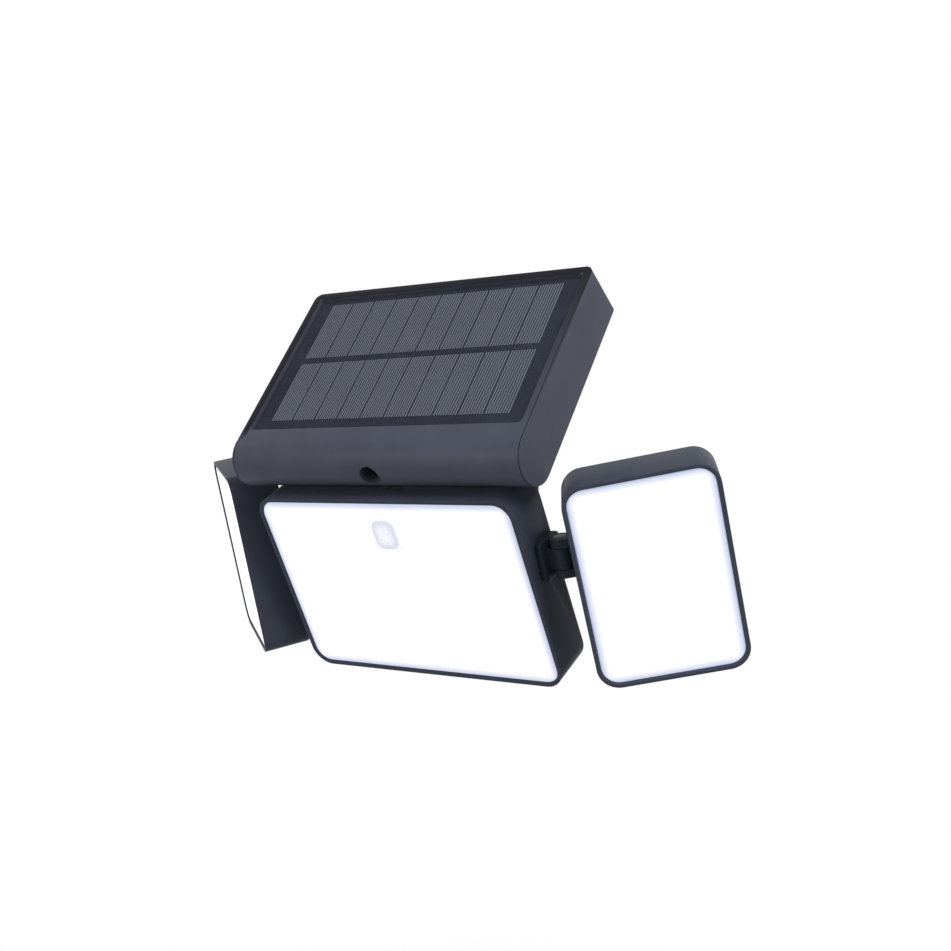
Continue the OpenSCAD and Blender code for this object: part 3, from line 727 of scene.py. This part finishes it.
def head_size(prefix, matrix):
    """Width, height and depth of a head's shell, from its diffuser and its screws."""
    housing = settings().housing
    low, high = local_span(prefix + "_diffuser", matrix)
    inset = 2 * (housing.rim + housing.rim_gap)
    sunk = 0.3 * MM
    depth = local_span(prefix + "_screws", matrix)[1].y + sunk
    return high.x - low.x + inset, high.z - low.z + inset, depth


def screw_places(node, matrix):
    """Centres of a head's screws in its frame."""
    low, high = local_span(node, matrix)
    return [(x, z) for x in (low.x + SCREW_HEAD_RADIUS, high.x - SCREW_HEAD_RADIUS)
            for z in (low.z + SCREW_HEAD_RADIUS, high.z - SCREW_HEAD_RADIUS)]


def shell_tray(prefix, matrix):
    """A head's shell: rounded tray with a rim, a stepped pocket and sunk screw holes."""
    housing = settings().housing
    width, height, depth = head_size(prefix, matrix)
    shell = add_rounded_slab(prefix + "_tray", width, height, housing.corner, 0, depth)
    edit(shell)
    pick("EDGE", lambda e: all(abs(v.co.y - depth) < 1e-6 for v in e.verts))
    bpy.ops.mesh.bevel(offset=1.6 * MM, segments=4, affect="EDGES", clamp_overlap=False)
    pick("FACE", lambda f: f.normal.y < -0.99)
    bpy.ops.mesh.inset(thickness=housing.rim)
    bpy.ops.mesh.extrude_region_move(TRANSFORM_OT_translate={"value": (0, housing.pocket, 0)})
    bpy.ops.mesh.inset(thickness=housing.ledge)
    bpy.ops.mesh.extrude_region_move(
        TRANSFORM_OT_translate={"value": (0, depth - housing.back - housing.pocket, 0)})
    leave_edit()
    for x, z in screw_places(prefix + "_screws", matrix):
        wall = depth - housing.back
        pillar = add_rod("pillar", SCREW_PILLAR, (x, wall - 5 * MM, z), (x, depth - housing.back / 2, z))
        carve(shell, pillar, "UNION")
        carve(shell, add_rod("sink", SCREW_SINK, (x, depth - 2 * MM, z), (x, depth + 1 * MM, z)))
    return shell


def make_main_shell():
    housing = settings().housing
    matrix = main_frame()
    width, height, _ = head_size("main", matrix)
    shell = shell_tray("main", matrix)
    neck = matrix.inverted() @ Vector(JOINTS["panel_tilt"]["pos_m"])
    top = height / 2
    carve(shell, add_rod("neck_hole", NECK_HOLE, (0, neck.y, top - 6 * MM), (0, neck.y, top + 5 * MM)))
    low, high = local_span("mode_button", matrix)
    middle = (low + high) / 2
    outside = (middle.x, middle.y, -top - 5 * MM)
    inside = (middle.x, middle.y, -top + 6 * MM)
    carve(shell, add_rod("button_hole", BUTTON_HOLE, outside, inside))
    arm = matrix.inverted() @ Vector(JOINTS["right_arm_turn"]["pos_m"])
    carve(shell, add_rod("arm_holes", ARM_HOLE, (-width, arm.y, arm.z), (width, arm.y, arm.z)))
    soften_edges(shell, housing.edge)
    fit_out(place(shell, matrix), "main_shell", head_plastic_with_painted_shade())


def make_side_shell(prefix):
    housing = settings().housing
    matrix = side_frame(prefix)
    shell = shell_tray(prefix, matrix)
    soften_edges(shell, housing.edge)
    fit_out(place(shell, matrix), prefix + "_shell", head_plastic_with_painted_shade())


def make_diffuser(prefix, matrix, columns_shift):
    """A diffuser: shallow cup with well rounded front edges."""
    housing = settings().housing
    low, high = local_span(prefix + "_diffuser", matrix)
    width, height = high.x - low.x, high.z - low.z
    inset = housing.rim + housing.rim_gap
    rear = housing.pocket - 1 * MM
    grow = 0.5 * MM
    front = low.y + (0.0 if prefix == "main" else housing.lens_sunk)
    corner = housing.corner - inset + grow / 2
    lens = add_rounded_slab(prefix + "_lens", width + grow, height + grow, corner, front, rear)
    edit(lens)
    pick("EDGE", lambda e: all(abs(v.co.y - front) < 1e-6 for v in e.verts))
    bpy.ops.mesh.bevel(offset=housing.lens_edge, segments=6, affect="EDGES", clamp_overlap=False)
    pick("FACE", lambda f: f.normal.y > 0.99)
    bpy.ops.mesh.inset(thickness=1.8 * MM)
    bpy.ops.mesh.extrude_region_move(TRANSFORM_OT_translate={"value": (0, low.y + 2.7 * MM - rear, 0)})
    leave_edit()
    sensor_at = None
    if prefix == "main":
        box_low, box_high = local_span("pir_lens", matrix)
        sensor_at = (box_low.z + box_high.z) / 2
        hole = add_rounded_slab("sensor_hole", 15.6 * MM, 18.6 * MM, 5.3 * MM, -2 * MM, 6 * MM)
        place(hole, Matrix.Translation((0, 0, sensor_at)))
        carve(lens, hole)
    activate(lens)
    bpy.ops.object.shade_smooth_by_angle(angle=math.radians(35))
    material = lit_opal("Lit opal " + prefix, matrix, width, height, columns_shift, sensor_at)
    fit_out(place(lens, matrix), prefix + "_diffuser", material)


def make_sensor_lens():
    """The sensor's lens: rounded window with a low dome and a flange behind the diffuser."""
    matrix = main_frame()
    low, high = local_span("pir_lens", matrix)
    middle = (low.z + high.z) / 2
    lens = add_rounded_slab("sensor", 15 * MM, 18 * MM, 5 * MM, low.y, high.y)
    edit(lens)
    pick("FACE", lambda f: f.normal.y < -0.99)
    bpy.ops.mesh.inset(thickness=1.2 * MM)
    bpy.ops.mesh.inset(thickness=2.0 * MM, depth=0.25 * MM)
    bpy.ops.mesh.inset(thickness=1.5 * MM, depth=0.1 * MM)
    leave_edit()
    flange = add_rounded_slab("flange", 20 * MM, 21 * MM, 5 * MM, high.y - 1.2 * MM, high.y)
    carve(lens, flange, "UNION")
    soften_edges(lens, 0.25 * MM, 2, 50)
    fit_out(place(lens, matrix @ Matrix.Translation((0, 0, middle))), "pir_lens", sensor_opal_with_painted_glow())


def slot_tool(radius):
    """Cutter for the neck's slot: a sector about the hinge axis with a round end."""
    housing = settings().housing
    half = housing.slot_width / 2
    reach = radius + 3 * MM
    deselect()
    bpy.ops.mesh.primitive_plane_add(size=1)
    tool = bpy.context.object
    tool.data.transform(Matrix.Translation((0, 0, -reach / 2)) @ Matrix.Rotation(math.pi / 2, 4, "X")
                        @ Matrix.Diagonal((2 * half, reach, 1, 1)))
    edit(tool)
    bpy.ops.mesh.select_all(action="SELECT")
    bpy.ops.mesh.spin(steps=28, angle=-housing.slot_end, center=(0, 0, 0), axis=(1, 0, 0))
    bpy.ops.mesh.select_all(action="SELECT")
    bpy.ops.mesh.remove_doubles(threshold=1e-6)
    bpy.ops.mesh.normals_make_consistent(inside=False)
    leave_edit()
    end = Vector((0, -math.sin(housing.slot_end), -math.cos(housing.slot_end)))
    return tool, add_rod("slot_end", half - 0.02 * MM, (0, 0, 0), end * reach)


def make_panel_housing():
    """The panel's housing: round front edge, framed recess, hollow behind its lid, slot for the neck."""
    housing = settings().housing
    matrix = panel_frame()
    low, high = local_span("panel_housing", matrix)
    radius = high.z
    body = add_block("panel_body", low, high)
    edit(body)
    pick("EDGE", lambda e: along(e, 2) and e.verts[0].co.y > 0)
    bpy.ops.mesh.bevel(offset=5 * MM, segments=housing.curve_steps, affect="EDGES", clamp_overlap=False)
    pick("EDGE", lambda e: along(e, 0) and e.verts[0].co.y < 0)
    bpy.ops.mesh.bevel(offset=radius - 0.01 * MM, segments=20, affect="EDGES", clamp_overlap=False)
    bpy.ops.mesh.select_all(action="SELECT")
    bpy.ops.mesh.remove_doubles(threshold=0.1 * MM)
    leave_edit()
    pane_low, pane_high = local_span("solar_cover", matrix)
    play = 0.4 * MM
    window = add_block("window", (pane_low.x - play, pane_low.y - play, pane_high.z - 5 * MM),
                       (pane_high.x + play, pane_high.y + play, radius + 2 * MM))
    edit(window)
    pick("EDGE", lambda e: along(e, 2))
    bpy.ops.mesh.bevel(offset=3 * MM, segments=6, affect="EDGES", clamp_overlap=False)
    leave_edit()
    carve(body, window)
    lid_low, lid_high = local_span("panel_base", matrix)
    seam = 0.25 * MM
    carve(body, add_block("hollow", (lid_low.x - seam, lid_low.y - seam, -radius - 2 * MM),
                          (lid_high.x + seam, lid_high.y + seam, 9.3 * MM)))
    for tool in slot_tool(radius):
        carve(body, tool)
    half = housing.slot_width / 2 + 0.06 * MM
    carve(body, add_rod("barrel_room", 8.5 * MM, (-half, 0, 0), (half, 0, 0)))
    half = housing.slot_width / 2 + 0.03 * MM
    carve(body, add_block("slot_back", (-half, -1 * MM, -radius - 3 * MM), (half, half, 0)))
    soften_edges(body, housing.edge, 3, 30)
    fit_out(place(body, matrix), "panel_housing", panel_plastic_with_painted_shade())


def make_solar_cells():
    """Two rows of thin cells on the dark sheet, just clear of the cover."""
    matrix = panel_frame()
    inverse = matrix.inverted()
    points = [inverse @ v.co for v in NODES["solar_cells"].data.vertices]
    sides = sorted({round(p.x, 5) for p in points})
    ends = sorted({round(p.y, 5) for p in points})
    low, high = local_span("solar_cells", matrix)
    film = 0.08 * MM
    one = add_block("cell_one", (sides[0], ends[0], low.z), (sides[1], ends[1], high.z - film))
    edit(one)
    pick("EDGE", lambda e: all(v.co.z > high.z - 2 * film for v in e.verts))
    bpy.ops.mesh.bevel(offset=0.15 * MM, segments=2, affect="EDGES")
    leave_edit()
    cells = []
    for side in sides[::2]:
        for end in ends[::2]:
            cell = one.copy()
            cell.data = one.data.copy()
            bpy.context.scene.collection.objects.link(cell)
            cell.data.transform(Matrix.Translation((side - sides[0], end - ends[0], 0)))
            cells.append(cell)
    bpy.data.objects.remove(one)
    fit_out(place(join(cells, "cells"), matrix), "solar_cells", silicon())


def screw_head(name, radius, height):
    """A pan-head screw's head with a cross recess, pointing along +y."""
    head = add_rod(name, radius, (0, 0, 0), (0, height, 0), 32)
    edit(head)
    pick("EDGE", lambda e: all(abs(v.co.y - height) < 1e-6 for v in e.verts))
    bpy.ops.mesh.bevel(offset=height * 0.55, segments=5, affect="EDGES", clamp_overlap=False)
    leave_edit()
    bar = 0.45 * MM
    for x, z in ((radius * 0.6, bar), (bar, radius * 0.6)):
        carve(head, add_block("recess", (-x, height * 0.35, -z), (x, height + 1 * MM, z)))
    return head


def make_screws(node, matrix, places, seat, length):
    """A set of like screws, each a copy of one."""
    head = screw_head(node + "_one", SCREW_HEAD_RADIUS, SCREW_HEAD_HEIGHT)
    shank = add_rod("shank", SCREW_SHANK_RADIUS, (0, -length, 0), (0, 0.5 * MM, 0), 20)
    carve(head, shank, "UNION")
    activate(head)
    bpy.ops.object.shade_smooth_by_angle(angle=math.radians(35))
    copies = []
    for x, z in places:
        one = head.copy()
        one.data = head.data.copy()
        bpy.context.scene.collection.objects.link(one)
        one.data.transform(Matrix.Translation((x, seat, z)))
        copies.append(one)
    bpy.data.objects.remove(head)
    fit_out(place(join(copies, node), matrix), node, zinc_steel())


def make_head_screws(prefix, matrix):
    node = prefix + "_screws"
    low, high = local_span(node, matrix)
    seat = high.y - SCREW_HEAD_HEIGHT
    make_screws(node, matrix, screw_places(node, matrix), seat, seat - low.y)


def make_base_screws():
    """The lid's screws, with their heads facing down out of the panel's back."""
    matrix = panel_frame()
    low, high = local_span("base_screws", matrix)
    down = matrix @ Matrix.Rotation(-math.pi / 2, 4, "X")
    places = [(x, z) for x in (low.x + SCREW_HEAD_RADIUS, high.x - SCREW_HEAD_RADIUS)
              for z in (low.y + SCREW_HEAD_RADIUS, high.y - SCREW_HEAD_RADIUS)]
    length = high.z - low.z - SCREW_HEAD_HEIGHT
    make_screws("base_screws", down, places, -low.z - SCREW_HEAD_HEIGHT, length)


# Operators

class FLOOD_OT_panel(bpy.types.Operator):
    """Models the panel's housing and lid and finishes the solar cells"""
    bl_idname = "flood.panel"
    bl_label = "Solar panel"

    def execute(self, context):
        make_panel_housing()
        fit_out(soft_copy("panel_base", 0.3 * MM), "panel_base", housing_plastic())
        make_base_screws()
        paint("solar_sheet", cell_sheet())
        make_solar_cells()
        fit_out(soft_copy("solar_cover", 0.3 * MM), "solar_cover", satin_cover())
        return {"FINISHED"}


class FLOOD_OT_main_head(bpy.types.Operator):
    """Models the main head with its diffuser, sensor lens and screws"""
    bl_idname = "flood.main_head"
    bl_label = "Main head"

    def execute(self, context):
        make_main_shell()
        make_diffuser("main", main_frame(), 0.0)
        make_sensor_lens()
        make_head_screws("main", main_frame())
        fit_out(soft_copy("tilt_lugs", 0.5 * MM), "tilt_lugs", head_plastic_with_painted_shade())
        fit_out(soft_copy("mode_button", 0.5 * MM), "mode_button", button_rubber())
        return {"FINISHED"}


class FLOOD_OT_side_heads(bpy.types.Operator):
    """Models both side heads with their diffusers, arms and screws"""
    bl_idname = "flood.side_heads"
    bl_label = "Side heads"

    def execute(self, context):
        half_pitch = settings().finish.lamp_pitch / 2
        for prefix in ("right", "left"):
            make_side_shell(prefix)
            make_diffuser(prefix, side_frame(prefix), half_pitch)
            make_head_screws(prefix, side_frame(prefix))
            fit_out(soft_copy(prefix + "_ears", 0.4 * MM), prefix + "_ears", graphite_plastic())
            fit_out(soft_copy(prefix + "_arm", 0.4 * MM), prefix + "_arm", graphite_plastic())
            fit_out(soft_copy(prefix + "_pin", 0.3 * MM), prefix + "_pin", dark_steel())
        return {"FINISHED"}


class FLOOD_OT_bracket(bpy.types.Operator):
    """Softens the wall bracket, the hinge neck and their bolts"""
    bl_idname = "flood.bracket"
    bl_label = "Bracket and hinge"

    def execute(self, context):
        fit_out(soft_copy("wall_bracket", 0.6 * MM, 3), "wall_bracket", powder_coat())
        fit_out(soft_copy("hinge_neck", 0.4 * MM), "hinge_neck", graphite_plastic())
        for node in ("tilt_bolt", "tilt_nut", "tilt_washers"):
            fit_out(soft_copy(node, 0.35 * MM), node, zinc_steel())
        return {"FINISHED"}


class FLOOD_OT_inside(bpy.types.Operator):
    """Finishes the seals, boards, lamps and batteries inside"""
    bl_idname = "flood.inside"
    bl_label = "Inside"

    def execute(self, context):
        finishes = {
            seal_rubber(): ["main_gasket", "right_gasket", "left_gasket", "base_gasket", "right_arm_seal",
                            "left_arm_seal"],
            graphite_plastic(): ["right_arm_collar", "left_arm_collar", "battery_holder"],
            zinc_steel(): ["neck_screws", "charge_screws", "hinge_bolt", "hinge_nut", "hinge_washers",
                           "pir_sensor"],
            board_mask("White mask", (0.80, 0.81, 0.80)): ["main_led_board", "right_led_board",
                                                           "left_led_board"],
            board_mask("Green mask", (0.02, 0.16, 0.06)): ["switch_board", "charge_board"],
            board_mask("Black resin", (0.02, 0.02, 0.025)): ["charge_parts"],
            phosphor(): ["main_leds", "right_leds", "left_leds"],
            shrink_wrap(): ["battery_cells"],
        }
        for material, nodes in finishes.items():
            for node in nodes:
                paint(node, material)
        return {"FINISHED"}


# Stage

def seen_rays(tree):
    """1 for rays from the camera and for those that mirror or pass through a piece."""
    path = tree.nodes.new("ShaderNodeLightPath")
    seen = sum_up(tree, "MAXIMUM", path.outputs["Is Camera Ray"], path.outputs["Is Glossy Ray"])
    return sum_up(tree, "MAXIMUM", seen, path.outputs["Is Transmission Ray"])


def mix_shaders(tree, factor, first, second, output):
    mix = tree.nodes.new("ShaderNodeMixShader")
    tree.links.new(factor, mix.inputs[0])
    tree.links.new(first, mix.inputs[1])
    tree.links.new(second, mix.inputs[2])
    tree.links.new(mix.outputs[0], tree.nodes[output].inputs["Surface"])


def soft_box(name, place_at, target, width, depth, power):
    """A soft studio light that faces a point."""
    data = bpy.data.lights.new(name, "AREA")
    data.shape = "RECTANGLE"
    data.size = width
    data.size_y = depth
    data.energy = power
    lamp = bpy.data.objects.new(name, data)
    bpy.context.scene.collection.objects.link(lamp)
    lamp.location = place_at
    lamp.rotation_euler = (Vector(target) - Vector(place_at)).to_track_quat("-Z", "Y").to_euler()


class FLOOD_OT_stage(bpy.types.Operator):
    """Sets the pale floor, the soft light, the white background and the camera"""
    bl_idname = "flood.stage"
    bl_label = "Stage"

    def execute(self, context):
        scene = bpy.context.scene
        scene.view_settings.view_transform = "Standard"
        self.make_world(scene)
        self.make_floor()
        soft_box("Key box", (0.90, -0.60, 1.05), (0, -0.1, 0), 0.9, 0.9, 17)
        soft_box("Front strip", (-0.5, -1.3, 0.10), (0, -0.1, 0), 1.0, 0.3, 7.5)
        soft_box("Right strip", (1.6, -0.45, 0.20), (0, -0.1, 0.05), 0.5, 0.5, 5.5)
        self.make_camera(scene)
        return {"FINISHED"}

    def make_world(self, scene):
        world = bpy.data.worlds.new("Studio")
        scene.world = world
        world.use_nodes = True
        tree = world.node_tree
        sky = tree.nodes["Background"]
        sky.inputs["Color"].default_value = (0.92, 0.95, 1.0, 1.0)
        sky.inputs["Strength"].default_value = 0.04
        white = add_node(tree, "ShaderNodeBackground", None, Strength=1.0)
        white.inputs["Color"].default_value = (1, 1, 1, 1)
        mix_shaders(tree, seen_rays(tree), sky.outputs[0], white.outputs[0], "World Output")

    def make_floor(self):
        deselect()
        bpy.ops.mesh.primitive_plane_add(size=12, location=(0, 0, -0.7))
        floor = bpy.context.object
        floor.name = "floor"
        material, tree, shader, where = start_material("Pale floor")
        shader.inputs["Base Color"].default_value = (0.85, 0.85, 0.86, 1.0)
        shader.inputs["Roughness"].default_value = 0.9
        shader.inputs["Specular IOR Level"].default_value = 0.0
        away = add_node(tree, "ShaderNodeVectorMath", {"operation": "LENGTH"}, i0=where).outputs["Value"]
        shaded = ramp_value(tree, away, 0.5, 1.3, 0.35, 0.0)
        white = add_node(tree, "ShaderNodeEmission", None, Strength=1.0)
        white.inputs["Color"].default_value = (1, 1, 1, 1)
        part = sum_up(tree, "SUBTRACT", seen_rays(tree), shaded)
        mix_shaders(tree, part, shader.outputs[0], white.outputs[0], "Material Output")
        floor.data.materials.append(material)

    def make_camera(self, scene):
        data = bpy.data.cameras.new("Camera")
        data.sensor_width = SENSOR_MM
        data.lens = SENSOR_MM * FOCAL_PIXELS / PHOTO_SIZE
        data.clip_start = 0.01
        camera = bpy.data.objects.new("Camera", data)
        scene.collection.objects.link(camera)
        camera.location = Vector(JOINTS["panel_tilt"]["pos_m"]) + CAMERA_FROM_HINGE
        camera.rotation_euler = (math.pi / 2 + CAMERA_PITCH, 0, CAMERA_YAW)
        scene.camera = camera


class FLOOD_PT_panel(bpy.types.Panel):
    """Lists the light's operators"""
    bl_label = "Flood light"
    bl_idname = "FLOOD_PT_panel"
    bl_space_type = "VIEW_3D"
    bl_region_type = "UI"
    bl_category = "Flood light"

    def draw(self, context):
        for group in (context.scene.flood_light.housing, context.scene.flood_light.finish):
            for key in group.__annotations__:
                self.layout.prop(group, key)
        for operator in OPERATORS:
            self.layout.operator(operator.bl_idname)


OPERATORS = (FLOOD_OT_stage, FLOOD_OT_panel, FLOOD_OT_main_head, FLOOD_OT_side_heads, FLOOD_OT_bracket,
             FLOOD_OT_inside)
CLASSES = (HousingSettings, FinishSettings, LightSettings) + OPERATORS + (FLOOD_PT_panel,)


def register():
    for cls in CLASSES:
        bpy.utils.register_class(cls)
    bpy.types.Scene.flood_light = PointerProperty(type=LightSettings)


def unregister():
    del bpy.types.Scene.flood_light
    for cls in reversed(CLASSES):
        bpy.utils.unregister_class(cls)


def main():
    register()
    bpy.ops.flood.stage()
    bpy.ops.flood.panel()
    bpy.ops.flood.main_head()
    bpy.ops.flood.side_heads()
    bpy.ops.flood.bracket()
    bpy.ops.flood.inside()


if __name__ == "__main__":
    main()
